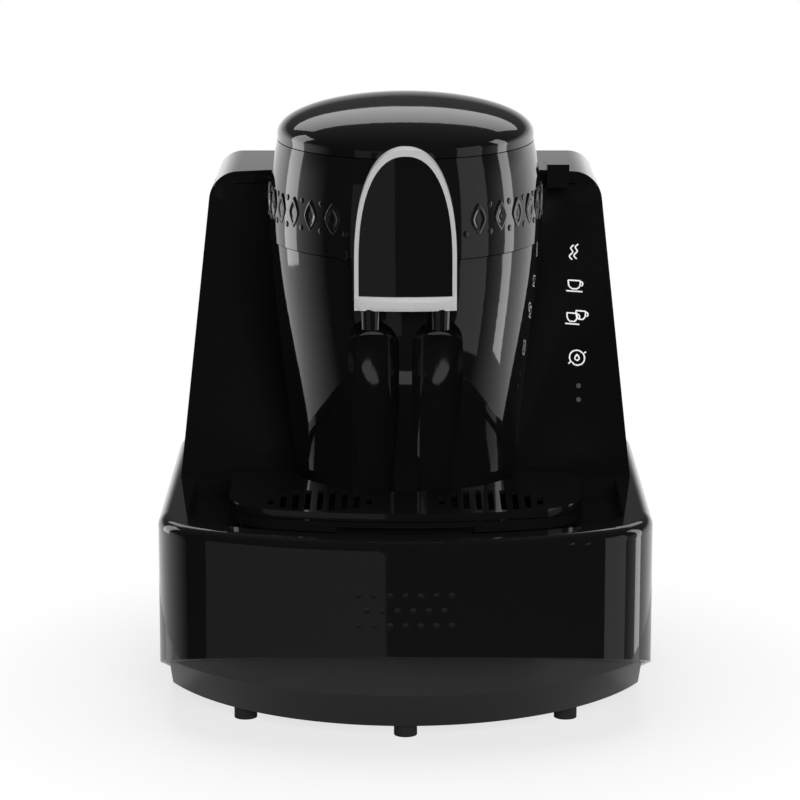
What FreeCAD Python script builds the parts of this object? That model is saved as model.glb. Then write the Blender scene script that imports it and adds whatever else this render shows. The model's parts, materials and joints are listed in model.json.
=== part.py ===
"""An automatic coffee maker for small cups.

A low base carries a lift-out drip tray in front. An oval column rises from it to a head with a domed,
hinged lid over the brewing pot, and two spouts hang from a bright frame on the front of the head. Behind
the column stands a housing with two angled wings, and the water tank lifts off the back with its lid.

Millimetres. +Z is up, -Y is the front, and the origin is on the table under the middle of the machine.
"""
import FreeCAD
import Part
import Sketcher
import math
import os
import re

V = FreeCAD.Vector
DOC = FreeCAD.newDocument("coffee_maker")
SHEET = DOC.addObject("Spreadsheet::Sheet", "sizes")

# The driving dimensions: name, value and what it is.
SIZES = [
    ("base_half", 128, "half the width of the base"),
    ("base_front", 136, "reach of the base in front of the origin"),
    ("base_back", 134, "reach of the base behind the origin"),
    ("base_front_arc", 250, "radius of the front of the base in plan"),
    ("base_front_corner", 45, "radius of the front corners in plan"),
    ("base_rear_corner", 36, "radius of the rear corners in plan"),
    ("shell_low", 7, "lower edge of the base shell at the sides"),
    ("shell_high", 103.5, "seam between base shell and deck"),
    ("shell_wall", 3, "wall of the base shell"),
    ("chin_angle", 18.5, "rise of the shell's lower edge towards the front, degrees"),
    ("chin_lap", 6, "how far the pan reaches up inside the shell"),
    ("pan_centre", 32, "how far behind the origin the pan's round front is centred"),
    ("pan_low_arc", 139, "radius of the pan's front at the floor"),
    ("pan_high_arc", 152, "radius of the pan's front at the top"),
    ("pan_bend", 20, "height over which the pan's front curves in"),
    ("pan_wall", 2.5, "wall of the pan"),
    ("foot_size", 12, "diameter of the feet"),
    ("foot_sink", 1.5, "how far a foot sits in the pan"),
    ("front_foot", 98, "how far in front of the origin the middle foot is"),
    ("side_foot", 68, "how far in front of the origin the side feet are"),
    ("side_foot_out", 84, "how far out the side feet are"),
    ("rear_foot", 105, "how far behind the origin the rear feet are"),
    ("rear_foot_out", 85, "how far out the rear feet are"),
    ("rim_high", 112, "top of the deck"),
    ("rim_width", 15, "width of the rim round the bowl"),
    ("rim_round", 6, "rounding of the deck's outer edge"),
    ("bowl_low", 101, "floor of the bowl under the tray"),
    ("deck_wall", 2.5, "wall of the deck"),
    ("barrel_back", 50, "rear reach of column and head"),
    ("foot_oval_width", 55, "half width of the column at the bowl"),
    ("foot_oval_front", 56, "front reach of the column at the bowl"),
    ("waist_high", 168, "height of the column's waist section"),
    ("waist_oval_width", 64, "half width of the column at the waist"),
    ("waist_oval_front", 72, "front reach of the column at the waist"),
    ("neck_high", 210, "height of the column's neck section"),
    ("neck_oval_width", 68.8, "half width of the column at the neck"),
    ("neck_oval_front", 84, "front reach of the column at the neck"),
    ("groove_high", 246, "joint between column and head ring"),
    ("groove_gap", 0.6, "open joint under the head ring"),
    ("groove_step", 0.8, "how far the head ring stands proud of the column"),
    ("belly_oval_width", 71.4, "half width of the column at the joint"),
    ("belly_oval_front", 86.2, "front reach of the column at the joint"),
    ("chest_high", 277, "height of the head ring's middle section"),
    ("chest_oval_width", 70.2, "half width of the head ring at its middle"),
    ("chest_oval_front", 85.6, "front reach of the head ring at its middle"),
    ("ring_high", 297, "top of the head ring"),
    ("ring_oval_width", 66.8, "half width of the head ring's top"),
    ("ring_oval_front", 82.4, "front reach of the head ring's top"),
    ("barrel_wall", 3, "wall of column and head ring"),
    ("niche_arc", 14.3, "radius of the two niches behind the cups"),
    ("spout_pitch", 35.2, "distance between the two spouts, and between the niches"),
    ("niche_high", 201, "height of the middle of the niches' round tops"),
    ("lid_gap", 0.5, "open joint under the lid"),
    ("lid_high", 321.5, "top of the lid"),
    ("lid_wall", 2.5, "wall of the lid"),
    ("lid_swing", 0.4, "extra clearance that the lid needs in front to swing"),
    ("lid_skirt", 3, "height of the lid's upright edge"),
    ("lid_pin_back", 56, "how far behind the origin the lid's pin is"),
    ("lid_pin_high", 300, "height of the lid's pin"),
    ("lid_pin_size", 4, "diameter of the lid's pin"),
    ("pin_play", 0.08, "radial play of the hinge pins"),
    ("knuckle_size", 10, "diameter of the hinge knuckles"),
    ("knuckle_half", 20, "half the length of the lid's knuckle"),
    ("ear_width", 6, "width of the ears beside the lid's knuckle"),
    ("side_play", 0.4, "end play of the hinge knuckles"),
    ("frame_half", 25.9, "half width of the spout frame"),
    ("frame_spring", 246, "height from which the spout frame narrows"),
    ("frame_side", 24, "straight length of the spout frame's sides"),
    ("frame_high", 304, "top of the spout frame"),
    ("frame_front", 97, "front reach of the spout frame"),
    ("frame_bulge", 110, "radius of the spout frame's front in plan"),
    ("frame_band", 2.2, "width of the frame's side band"),
    ("frame_bar", 7.2, "height of the frame's lower bar"),
    ("frame_seat", 0.3, "clearance between frame and head"),
    ("panel_step", 1.0, "how far the black panel lies behind the frame's front"),
    ("spout_size", 10.2, "diameter of a spout"),
    ("spout_bore", 7, "bore of a spout"),
    ("spout_drop", 10, "how far the spouts hang below the frame"),
    ("spout_front", 91, "how far in front of the origin the spouts are"),
    ("pot_size", 86, "diameter of the brewing pot"),
    ("pot_back", 18, "how far in front of the origin the pot's axis is"),
    ("pot_low", 236, "underside of the brewing pot"),
    ("pot_high", 291, "top of the brewing pot's flange"),
    ("pot_flange", 5, "width of the pot's flange"),
    ("pot_rim", 3, "how far the pot's flange lies under the lid's plate and its clearance"),
    ("roof_thick", 2.6, "thickness of the head's roof"),
    ("pot_wall", 1.2, "wall of the brewing pot"),
    ("drain_size", 12, "diameter of the pot's drain"),
    ("stem_size", 6, "diameter of the drain valve's stem"),
    ("stem_travel", 6, "travel of the drain valve"),
    ("heater_thick", 6, "thickness of the heater"),
    ("wing_half_low", 121.4, "half width of the housing at the deck"),
    ("wing_half_high", 105.5, "half width of the housing under its top"),
    ("wing_shoulder", 265.5, "height of the housing's shoulders"),
    ("wing_corner", 14.5, "radius of the wings' top corners"),
    ("house_high", 266, "top of the housing, under the tank lid"),
    ("top_high", 273, "top of the tank lid"),
    ("house_front", 5, "how far behind the origin the wings' outer edges start"),
    ("house_back", 68, "rear face of the housing"),
    ("house_wall", 3, "wall of the housing"),
    ("wing_inner", 60, "how far out the wings' inner edges are"),
    ("wing_yaw", 22, "angle of the wings towards the middle, degrees"),
    ("wing_lean", 7.4, "angle at which the wings lean back, degrees"),
    ("wing_hollow", 140, "radius of the wings' concave faces"),
    ("wing_skin", 2, "thickness of the wings' front panels"),
    ("barrel_gap", 0.3, "clearance round the column"),
    ("tank_half", 96, "half width of the tank"),
    ("tank_back", 126, "rear face of the tank"),
    ("tank_gap", 0.8, "clearance between housing and tank"),
    ("tank_low", 113, "underside of the tank"),
    ("tank_wall", 2.5, "wall of the tank"),
    ("tank_round", 14, "radius of the tank's upright edges"),
    ("cover_gap", 0.5, "clearance under the tank lid"),
    ("cover_head_gap", 1.5, "clearance between tank lid and head"),
    ("tab_half", 6, "half width of the tank lid's tab"),
    ("tab_high", 6, "height of the tab above the tank lid"),
    ("tab_out", 82, "how far out the tank lid's tab is"),
    ("tray_half", 92, "half width of the tray"),
    ("tray_front", 110, "reach of the tray in front of the origin"),
    ("tray_back", 16, "how far in front of the origin the tray ends"),
    ("tray_front_corner", 34, "radius of the tray's front corners"),
    ("tray_rear_corner", 10, "radius of the tray's rear corners"),
    ("tray_high", 115.4, "top of the tray's flange"),
    ("flange_low", 110, "underside of the tray's flange"),
    ("flange_over", 6, "how far the tray's flange reaches out"),
    ("tray_wall", 2, "wall of the tray"),
    ("tray_barrel_gap", 4, "clearance between tray and column"),
    ("grille_high", 120, "top of the grille"),
    ("grille_clear", 1.6, "how much further from the column the grille stays than the tray"),
    ("grille_thick", 4.2, "height of the grille's edge"),
    ("grille_plate", 2, "thickness of the grille's bars"),
    ("bar_pitch", 6.3, "pitch of the grille's bars"),
    ("slot_width", 3, "width of the grille's slots"),
    ("cup_out", 44, "how far out the middle of each cup rest is"),
    ("cup_front", 82, "how far in front of the origin each cup rest is"),
    ("cup_rest", 27, "radius of each cup rest"),
    ("fit_gap", 0.3, "clearance of the pieces that fit inside others"),
    ("cord_out", 60, "how far out cord gland and power switch are"),
    ("cord_high", 35, "height of cord gland and power switch"),
    ("gland_size", 16, "diameter of the cord gland's hole"),
    ("switch_half", 10, "half width of the power switch's hole"),
    ("socket_back", 100, "how far behind the origin the tank's valve is"),
    ("socket_size", 30, "diameter of the tank's socket"),
    ("socket_play", 1.6, "radial clearance of the tank's valve in its socket"),
    ("valve_size", 16, "diameter of the tank's valve"),
    ("stem_low", 196, "lower end of the drain valve's stem"),
    ("stem_gap", 0.1, "radial play of the drain valve's stem"),
    ("seat_gap", 0.05, "play between the drain valve and its seat"),
    ("duct_size", 5.2, "diameter of the ducts to the spouts"),
    ("notch_half", 35, "half width of the finger notch under the tray's flange"),
    ("tray_rest", 0.4, "clearance under the tray"),
]


def fill_sheet():
    """Writes the driving dimensions into the sheet, each cell with its alias."""
    for row, (alias, value, note) in enumerate(SIZES, start=1):
        SHEET.set(f"A{row}", note)
        SHEET.set(f"B{row}", str(value))
        SHEET.setAlias(f"B{row}", alias)
    DOC.recompute()


ALIASES = {alias for alias, _, _ in SIZES}


def formula(text):
    """Turns a formula in the sheet's names into one that any object can hold."""
    return re.sub(r"[a-z_]+", lambda m: f"sizes.{m[0]}" if m[0] in ALIASES else m[0], str(text))


def worth(text):
    """The number that a formula in the sheet's names stands for now."""
    value = SHEET.evalExpression(formula(text))
    return float(getattr(value, "Value", value))


def bind(thing, **sizes):
    """Binds properties of an object to formulas."""
    for name, text in sizes.items():
        thing.setExpression(name, formula(text))
    return thing


def seat(thing, x="0", y="0", z="0", axis=None, angle="0"):
    """Places an object at formulas, turned about an axis."""
    if axis is not None:
        thing.Placement = FreeCAD.Placement(V(0, 0, 0), axis, 1.0)
        thing.setExpression("Placement.Rotation.Angle", formula(angle))
    thing.setExpression("Placement.Base.x", formula(x))
    thing.setExpression("Placement.Base.y", formula(y))
    thing.setExpression("Placement.Base.z", formula(z))
    return thing


def box(name, x, y, z):
    """A box between pairs of formulas."""
    made = DOC.addObject("Part::Box", name)
    bind(made, Length=f"({x[1]}) - ({x[0]})", Width=f"({y[1]}) - ({y[0]})", Height=f"({z[1]}) - ({z[0]})")
    return seat(made, x[0], y[0], z[0])


def cylinder(name, radius, length, x="0", y="0", z="0", axis=None, angle="0"):
    """A cylinder that starts at a point and runs along +Z unless it is turned."""
    made = DOC.addObject("Part::Cylinder", name)
    bind(made, Radius=radius, Height=length)
    return seat(made, x, y, z, axis, angle)


X_AXIS = V(1, 0, 0)
Y_AXIS = V(0, 1, 0)


def rod(name, radius, x, y, z):
    """A cylinder along X between the pair of formulas x."""
    return cylinder(name, radius, f"({x[1]}) - ({x[0]})", x[0], y, z, Y_AXIS, "90")


def cut(name, base, *tools):
    """The base less each tool."""
    for number, tool in enumerate(tools):
        made = DOC.addObject("Part::Cut", name if number == len(tools) - 1 else f"{name}_step")
        made.Base = base
        made.Tool = tool
        base = made
    return base


def fuse(name, *pieces):
    """All the pieces as one solid."""
    made = DOC.addObject("Part::MultiFuse", name)
    made.Shapes = list(pieces)
    made.Refine = True
    return made


def common(name, *pieces):
    """What all the pieces share."""
    made = DOC.addObject("Part::MultiCommon", name)
    made.Shapes = list(pieces)
    return made


def carved(name, shape):
    """A shape that neither a body nor a primitive gives."""
    made = DOC.addObject("Part::Feature", name)
    made.Shape = shape
    made.Placement = FreeCAD.Placement()
    return made


def sketch_on(body, role, name, lift="0"):
    """A sketch on one of the body's origin planes, raised by a formula."""
    plane = next(f for f in body.Origin.OriginFeatures if f.Role == role)
    drawn = body.newObject("Sketcher::SketchObject", name)
    drawn.AttachmentSupport = [(plane, "")]
    drawn.MapMode = "FlatFace"
    drawn.setExpression("AttachmentOffset.Base.z", formula(lift))
    return drawn


def hold(drawn, kind, *where, size):
    """Adds a dimension to a sketch and binds it to a formula."""
    index = drawn.addConstraint(Sketcher.Constraint(kind, *where, worth(size)))
    drawn.setExpression(f"Constraints[{index}]", formula(size))


def turned(name, points, x="0", y="0"):
    """A body turned about an upright axis from a profile of radius and height pairs."""
    body = DOC.addObject("PartDesign::Body", name)
    drawn = sketch_on(body, "XZ_Plane", f"{name}_profile")
    spots = [V(worth(r), worth(z), 0) for r, z in points]
    last = len(spots) - 1
    for number, spot in enumerate(spots):
        drawn.addGeometry(Part.LineSegment(spot, spots[(number + 1) % len(spots)]), False)
    for number, (r, z) in enumerate(points):
        after = number + 1 if number < last else 0
        drawn.addConstraint(Sketcher.Constraint("Coincident", number, 2, after, 1))
    for number, (r, z) in enumerate(points):
        hold(drawn, "DistanceX", -1, 1, number, 1, size=r)
        hold(drawn, "DistanceY", -1, 1, number, 1, size=z)
    spin = body.newObject("PartDesign::Revolution", f"{name}_turn")
    spin.Profile = drawn
    spin.ReferenceAxis = (drawn, ["V_Axis"])
    spin.Angle = 360
    body.Tip = spin
    return seat(body, x, y)


def pod(name, half, front, back, arc, corners, low, high):
    """A body with straight sides and back and an arched front, its upright edges rounded."""
    body = DOC.addObject("PartDesign::Body", name)
    drawn = sketch_on(body, "XY_Plane", f"{name}_plan", low)
    w, f, b, r = worth(half), worth(front), worth(back), worth(arc)
    edge = r - f - math.sqrt(r * r - w * w)
    lean = math.asin(w / r)
    drawn.addGeometry(Part.LineSegment(V(w, edge, 0), V(w, b, 0)), False)
    drawn.addGeometry(Part.LineSegment(V(w, b, 0), V(-w, b, 0)), False)
    drawn.addGeometry(Part.LineSegment(V(-w, b, 0), V(-w, edge, 0)), False)
    bow = Part.Circle(V(0, r - f, 0), V(0, 0, 1), r)
    drawn.addGeometry(Part.ArcOfCircle(bow, -math.pi / 2 - lean, -math.pi / 2 + lean), False)
    for first, second in ((0, 1), (1, 2)):
        drawn.addConstraint(Sketcher.Constraint("Coincident", first, 2, second, 1))
    drawn.addConstraint(Sketcher.Constraint("Coincident", 2, 2, 3, 1))
    drawn.addConstraint(Sketcher.Constraint("Coincident", 3, 2, 0, 1))
    drawn.addConstraint(Sketcher.Constraint("Vertical", 0))
    drawn.addConstraint(Sketcher.Constraint("Vertical", 2))
    drawn.addConstraint(Sketcher.Constraint("Horizontal", 1))
    drawn.addConstraint(Sketcher.Constraint("PointOnObject", 3, 3, -2))
    hold(drawn, "DistanceX", -1, 1, 0, 2, size=half)
    hold(drawn, "DistanceX", 2, 1, -1, 1, size=half)
    hold(drawn, "DistanceY", -1, 1, 0, 2, size=back)
    hold(drawn, "Radius", 3, size=arc)
    hold(drawn, "DistanceY", -1, 1, 3, 3, size=f"({arc}) - ({front})")
    pad = body.newObject("PartDesign::Pad", f"{name}_pad")
    pad.Profile = drawn
    bind(pad, Length=f"({high}) - ({low})")
    DOC.recompute()
    tip = pad
    for place, radius in (("front", corners[0]), ("rear", corners[1])):
        wanted = b if place == "rear" else edge
        edges = []
        for number, side in enumerate(tip.Shape.Edges, start=1):
            first, second = side.Vertexes[0].Point, side.Vertexes[-1].Point
            upright = abs(first.x - second.x) + abs(first.y - second.y) < 1e-6
            if upright and abs(first.y - wanted) < 1e-4:
                edges.append(f"Edge{number}")
        rounded = body.newObject("PartDesign::Fillet", f"{name}_{place}_corners")
        rounded.Base = (tip, edges)
        bind(rounded, Radius=radius)
        DOC.recompute()
        tip = rounded
    body.Tip = tip
    return body


def base_pod(name, inset, low, high):
    """The base's outline, drawn in all round by an inset."""
    return pod(name, f"base_half - ({inset})", f"base_front - ({inset})", f"base_back - ({inset})",
               f"base_front_arc - ({inset})",
               (f"base_front_corner - ({inset})", f"base_rear_corner - ({inset})"), low, high)


def tray_pod(name, inset, low, high):
    """The tray's outline, drawn in all round by an inset."""
    return pod(name, f"tray_half - ({inset})", f"tray_front - ({inset})", f"-tray_back - ({inset})",
               f"base_front_arc - ({inset})",
               (f"tray_front_corner - ({inset})", f"max(tray_rear_corner - ({inset}); 1)"), low, high)


def oval(width, front, back, high):
    """A wire of two half ellipses, wider to the front than to the back."""
    if front > width:
        ahead = Part.Ellipse(V(0, -front, high), V(width, 0, high), V(0, 0, high))
    else:
        ahead = Part.Ellipse(V(width, 0, high), V(0, -front, high), V(0, 0, high))
    behind = Part.Ellipse(V(width, 0, high), V(0, back, high), V(0, 0, high))
    halves = []
    for curve, y in ((ahead, -front), (behind, back)):
        ends = [curve.parameter(V(width, 0, high)), curve.parameter(V(-width, 0, high))]
        halves.append(half_of(curve, ends, V(0, y, high)))
    return Part.Wire(halves)


def half_of(curve, ends, through):
    """The half of a closed curve that passes through a point."""
    for first, last in (ends, ends[::-1]):
        if last <= first:
            last += 2 * math.pi
        edge = Part.Edge(curve, first, last)
        if edge.distToShape(Part.Vertex(through))[0] < 1e-4:
            return edge


BARREL = [
    ("bowl_low", "foot_oval_width", "foot_oval_front"),
    ("waist_high", "waist_oval_width", "waist_oval_front"),
    ("neck_high", "neck_oval_width", "neck_oval_front"),
    ("groove_high", "belly_oval_width", "belly_oval_front"),
    ("chest_high", "chest_oval_width", "chest_oval_front"),
    ("ring_high", "ring_oval_width", "ring_oval_front"),
]


def barrel(grow):
    """The oval barrel of column and head, grown all round."""
    back = worth("barrel_back") + grow
    wires = [oval(worth(w) + grow, worth(f) + grow, back, worth(z)) for z, w, f in BARREL]
    return Part.makeLoft(wires, True, False)


def slab(low, high):
    """A block wider than the machine between two heights."""
    wide = 4 * worth("base_half")
    return Part.makeBox(wide, wide, high - low, V(-wide / 2, -wide / 2, low))


def chin_block(name, rise):
    """A block under the base shell's slanted lower edge, moved up by a rise."""
    deep = "base_half * 2"
    made = DOC.addObject("Part::Box", name)
    bind(made, Length="base_half * 4", Width=deep, Height="base_half")
    tilt = FreeCAD.Rotation(V(1, 0, 0), -worth("chin_angle"))
    middle = V(-2 * worth("base_half"), -2 * worth("base_half"), -worth("base_half"))
    made.Placement = FreeCAD.Placement(V(0, 0, worth(f"shell_low + {rise}")) + tilt.multVec(middle), tilt)
    return made


def base_pieces():
    """The pan, the shell round it, the feet and what they house."""
    shell = cut("base_shell", base_pod("shell_outside", "0", "shell_low", "shell_high"),
                base_pod("shell_inside", "shell_wall", "shell_low - 1", "shell_high + 1"),
                chin_block("shell_chin", "0"),
                cylinder("cord_hole", "gland_size / 2", "20", "cord_out", "base_back - 10", "cord_high",
                         X_AXIS, "-90"),
                box("switch_hole", ("-cord_out - switch_half", "-cord_out + switch_half"),
                    ("base_back - 10", "base_back + 10"), ("cord_high - 7", "cord_high + 7")))
    room = "shell_wall + fit_gap"
    low = "shell_low"
    top = "shell_low + 60"
    bowl = turned("pan_bowl", [("0", low), ("pan_low_arc", low), ("pan_high_arc", f"{low} + pan_bend"),
                               ("pan_high_arc", top), ("0", top)], "0", "pan_centre")
    hollow = turned("pan_hollow", [("0", f"{low} + pan_wall"), ("pan_low_arc - pan_wall", f"{low} + pan_wall"),
                                   ("pan_high_arc - pan_wall", f"{low} + pan_bend + pan_wall"),
                                   ("pan_high_arc - pan_wall", f"{top} + 1"), ("0", f"{top} + 1")],
                    "0", "pan_centre")
    tub = common("pan_tub", bowl, base_pod("pan_plan", room, low, top))
    below = chin_block("pan_top", "chin_lap")
    tub = common("pan_outside", tub, fuse("pan_limit", below, slab_at("pan_floor_limit", low, f"{low} + chin_lap")))
    brim = common("pan_brim", cut("brim_slab", chin_block("brim_top", "pan_wall"), chin_block("brim_low", "0")),
                  base_pod("brim_plan", room, low, top))
    cut("base_pan", fuse("pan_blank", tub, brim), common("pan_room", hollow,
        base_pod("pan_room_plan", f"{room} + pan_wall", low, f"{top} + 1")))
    feet = [("0", "-front_foot")]
    feet += [(f"{side} * side_foot_out", "-side_foot") for side in (-1, 1)]
    feet += [(f"{side} * rear_foot_out", "rear_foot") for side in (-1, 1)]
    fuse("feet", *[cylinder(f"foot_{n}", "foot_size / 2", "shell_low", x, y)
                   for n, (x, y) in enumerate(feet)])
    outer = base_pod("deck_outside", "0", "shell_high", "rim_high")
    DOC.recompute()
    rounded = DOC.addObject("Part::Fillet", "deck_round")
    rounded.Base = outer
    rounded.Edges = [(n, worth("rim_round"), worth("rim_round")) for n, e in enumerate(outer.Shape.Edges, 1)
                     if e.BoundBox.ZMin > worth("rim_high") - 1e-3]
    skirt = base_pod("deck_floor", f"{room}", "bowl_low - deck_wall", "shell_high")
    bowl_cut = common("bowl_room", base_pod("bowl_plan", "rim_width", "bowl_low", "rim_high + 1"),
                      box("bowl_reach", ("-base_half", "base_half"), ("-base_front", "0"),
                          ("bowl_low", "rim_high + 1")))
    foot = carved("column_seat", barrel(worth("barrel_gap")).common(slab(worth("bowl_low"), worth("neck_high"))))
    under = base_pod("deck_under", f"{room} + deck_wall", "bowl_low - deck_wall - 1", "bowl_low - deck_wall")
    cut("deck", fuse("deck_blank", rounded, skirt), bowl_cut, foot, under,
        cylinder("socket_hole", "socket_size / 2 + fit_gap", "40", "0", "socket_back", "bowl_low - 20"))


def slab_at(name, low, high):
    """A block wider than the machine between two formulas."""
    return box(name, ("-base_half * 2", "base_half * 2"), ("-base_half * 2", "base_half * 2"), (low, high))


def niches(grow):
    """The two upright hollows with round tops behind the cups, grown all round."""
    r = worth("niche_arc") + grow
    top = V(0, -worth("neck_oval_front") + 1, worth("niche_high"))
    foot = V(0, -worth("foot_oval_front") + 1, worth("bowl_low"))
    made = []
    for side in (-1, 1):
        shift = V(side * worth("spout_pitch") / 2, 0, 0)
        run = top - foot
        made.append(Part.makeCylinder(r, run.Length, foot + shift, run).fuse(Part.makeSphere(r, top + shift)))
    return made[0].fuse(made[1])


def column_pieces():
    """The column with its niches, the head ring above it and the groove between them."""
    wall, gap = worth("barrel_wall"), worth("groove_gap")
    whole, inside = barrel(0), barrel(-wall)
    low = slab(worth("bowl_low"), worth("groove_high") - gap)
    shell = whole.cut(inside).common(low)
    shell = shell.fuse(niches(wall).common(inside).common(low)).cut(niches(0))
    carved("column_shell", shell.cut(ducts()))
    proud, within = barrel(worth("groove_step")), barrel(worth("groove_step") - wall)
    high = slab(worth("groove_high"), worth("ring_high"))
    ring = proud.cut(within).common(high)
    carved("head_ring", ring.cut(ducts()))
    seat_high = worth("pot_high - pot_rim")
    roof = within.common(slab(seat_high - worth("roof_thick"), seat_high))
    hole = Part.makeCylinder(worth("pot_size / 2 + fit_gap"), worth("pot_high - pot_low"),
                             V(0, -worth("pot_back"), worth("pot_low")))
    carved("head_roof", roof.cut(hole))


def dome(shrink, low, high):
    """A closed dome on a short upright skirt over the head's oval, drawn in by a shrink."""
    w, f, b = (worth(n) - shrink for n in ("ring_oval_width", "ring_oval_front", "barrel_back"))
    skirt = worth("lid_skirt")
    made = Part.Face(oval(w, f, b, low)).extrude(V(0, 0, skirt))
    for reach, start in ((f, -180), (b, 0)):
        half = Part.makeSphere(1, V(0, 0, 0), V(0, 0, 1), 0, 90, 180)
        half.rotate(V(0, 0, 0), V(0, 0, 1), start)
        stretch = FreeCAD.Matrix()
        stretch.scale(V(w, reach, high - low - skirt))
        half = half.transformGeometry(stretch)
        half.translate(V(0, 0, low + skirt))
        made = made.fuse(half)
    return made


def lid_pieces():
    """The domed lid, its inner plate, its hinge pin and the ears that carry it."""
    low = worth("ring_high + lid_gap")
    back, high = worth("lid_pin_back"), worth("lid_pin_high")
    knuckle, half = worth("knuckle_size") / 2, worth("knuckle_half")
    pin, play = worth("lid_pin_size") / 2, worth("pin_play")
    wall, step = worth("lid_wall"), worth("groove_step")
    outer = dome(-step, low, worth("lid_high"))
    tube = Part.makeCylinder(knuckle, 2 * half, V(-half, back, high), V(1, 0, 0))
    arm = Part.makeBox(2 * half, back - worth("barrel_back") + 3, 5, V(-half, worth("barrel_back") - 3, high - 2.4))
    hollow = dome(wall - step, low - 1, worth("lid_high") - wall)
    shell = outer.cut(hollow).fuse(tube).fuse(arm)
    recess = Part.makeBox(54, 8, 3, V(-27, -worth("ring_oval_front") - 6, low))
    shell = shell.cut(Part.makeCylinder(pin + play, 2 * half + 2, V(-half - 1, back, high), V(1, 0, 0)))
    carved("lid", shell.cut(recess))
    plate_low = worth("pot_high - 1")
    plate = Part.makeCylinder(worth("pot_size") / 2 + 1, 4, V(0, -worth("pot_back"), plate_low))
    post = Part.makeCylinder(8, worth("lid_high") - plate_low, V(0, -worth("pot_back"), plate_low))
    carved("lid_liner", plate.fuse(post.common(hollow.fuse(slab(plate_low, low)))))
    reach = half + worth("side_play") + worth("ear_width")
    carved("lid_hinge_pin", Part.makeCylinder(pin, 2 * reach, V(-reach, back, high), V(1, 0, 0)))
    ears = []
    inner = barrel(worth("groove_step"))
    for side in (-1, 1):
        start = half + worth("side_play") if side > 0 else -reach
        ear = Part.makeCylinder(knuckle, worth("ear_width"), V(start, back, high), V(1, 0, 0))
        foot_block = Part.makeBox(worth("ear_width"), 2 * knuckle, 26, V(start, back - knuckle, high - 26))
        bridge = Part.makeBox(worth("ear_width"), 30, 14, V(start, back - 30, high - 24))
        ears.append(ear.fuse(foot_block).fuse(bridge.cut(inner)))
    tie = Part.makeBox(2 * reach, 2 * knuckle, 4, V(-reach, back - knuckle, high - 26))
    bracket = ears[0].fuse(ears[1]).fuse(tie)
    bracket = bracket.cut(Part.makeCylinder(pin, 2 * reach, V(-reach, back, high), V(1, 0, 0)))
    carved("lid_hinge_bracket", bracket.cut(inner))


def arch(inset, low):
    """The spout frame's outline as a face, drawn in by an inset above a lower edge."""
    half, spring, top = worth("frame_half") - inset, worth("frame_spring"), worth("frame_high") - 1.5 * inset
    power = 2.3
    points = []
    for n in range(13):
        rise = n / 12 * math.pi / 2
        points.append(V(half * math.cos(rise) ** (2 / power), 0,
                        spring + (top - spring) * math.sin(rise) ** (2 / power)))
    right = Part.BSplineCurve()
    right.interpolate(points)
    left = Part.BSplineCurve()
    left.interpolate([V(-q.x, 0, q.z) for q in reversed(points)])
    sides = [Part.LineSegment(V(-half, 0, spring), V(-half, 0, low)), Part.LineSegment(V(-half, 0, low),
             V(half, 0, low)), Part.LineSegment(V(half, 0, low), V(half, 0, spring))]
    edges = [right.toShape(), left.toShape()] + [line.toShape() for line in sides]
    return Part.Face(Part.Wire(Part.__sortEdges__(edges)))


def spout_pieces():
    """The bright frame, its black panel and the two spouts with the duct that feeds them."""
    front, bulge = worth("frame_front"), worth("frame_bulge")
    clear = worth("groove_step + frame_seat")
    joint = worth("ring_high + lid_gap")
    seatings = barrel(clear).fuse([dome(-clear - worth("lid_swing"), joint, worth("lid_high + lid_swing")),
                                   dome(-clear - worth("lid_swing"), joint - worth("lid_skirt"), joint + 1)])
    drums = [Part.makeCylinder(bulge - s, 200, V(0, bulge - front, 150)) for s in (0, worth("panel_step"))]
    blank = arch(0, worth("frame_spring - frame_side")).extrude(V(0, -front, 0)).common(drums[0]).cut(seatings)
    inner = arch(worth("frame_band"), worth("frame_spring - frame_side + frame_bar"))
    window = inner.extrude(V(0, -2 * front, 0))
    fine = arch(worth("frame_band") + 0.05, worth("frame_spring - frame_side + frame_bar") + 0.05)
    carved("spout_panel", fine.extrude(V(0, -front, 0)).common(drums[1]).cut(seatings))
    ways = []
    for name, side in (("left", -1), ("right", 1)):
        spot = V(side * worth("spout_pitch") / 2, -worth("spout_front"),
                 worth("frame_spring - frame_side - spout_drop"))
        length = worth("frame_spring - frame_side + frame_bar") - 2 - spot.z
        tube = Part.makeCone(worth("spout_size") / 2 - 0.5, worth("spout_size") / 2, length, spot)
        ways.append(tube)
        bore = Part.makeCylinder(worth("spout_bore") / 2, length, spot)
        carved(f"spout_{name}", largest(tube.cut(bore).cut(ducts())))
    carved("spout_frame", largest(blank.cut(window).cut(ways[0]).cut(ways[1]).cut(ducts())))


def largest(shape):
    """The largest solid of a shape."""
    return max(shape.Solids, key=lambda s: s.Volume)


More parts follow.
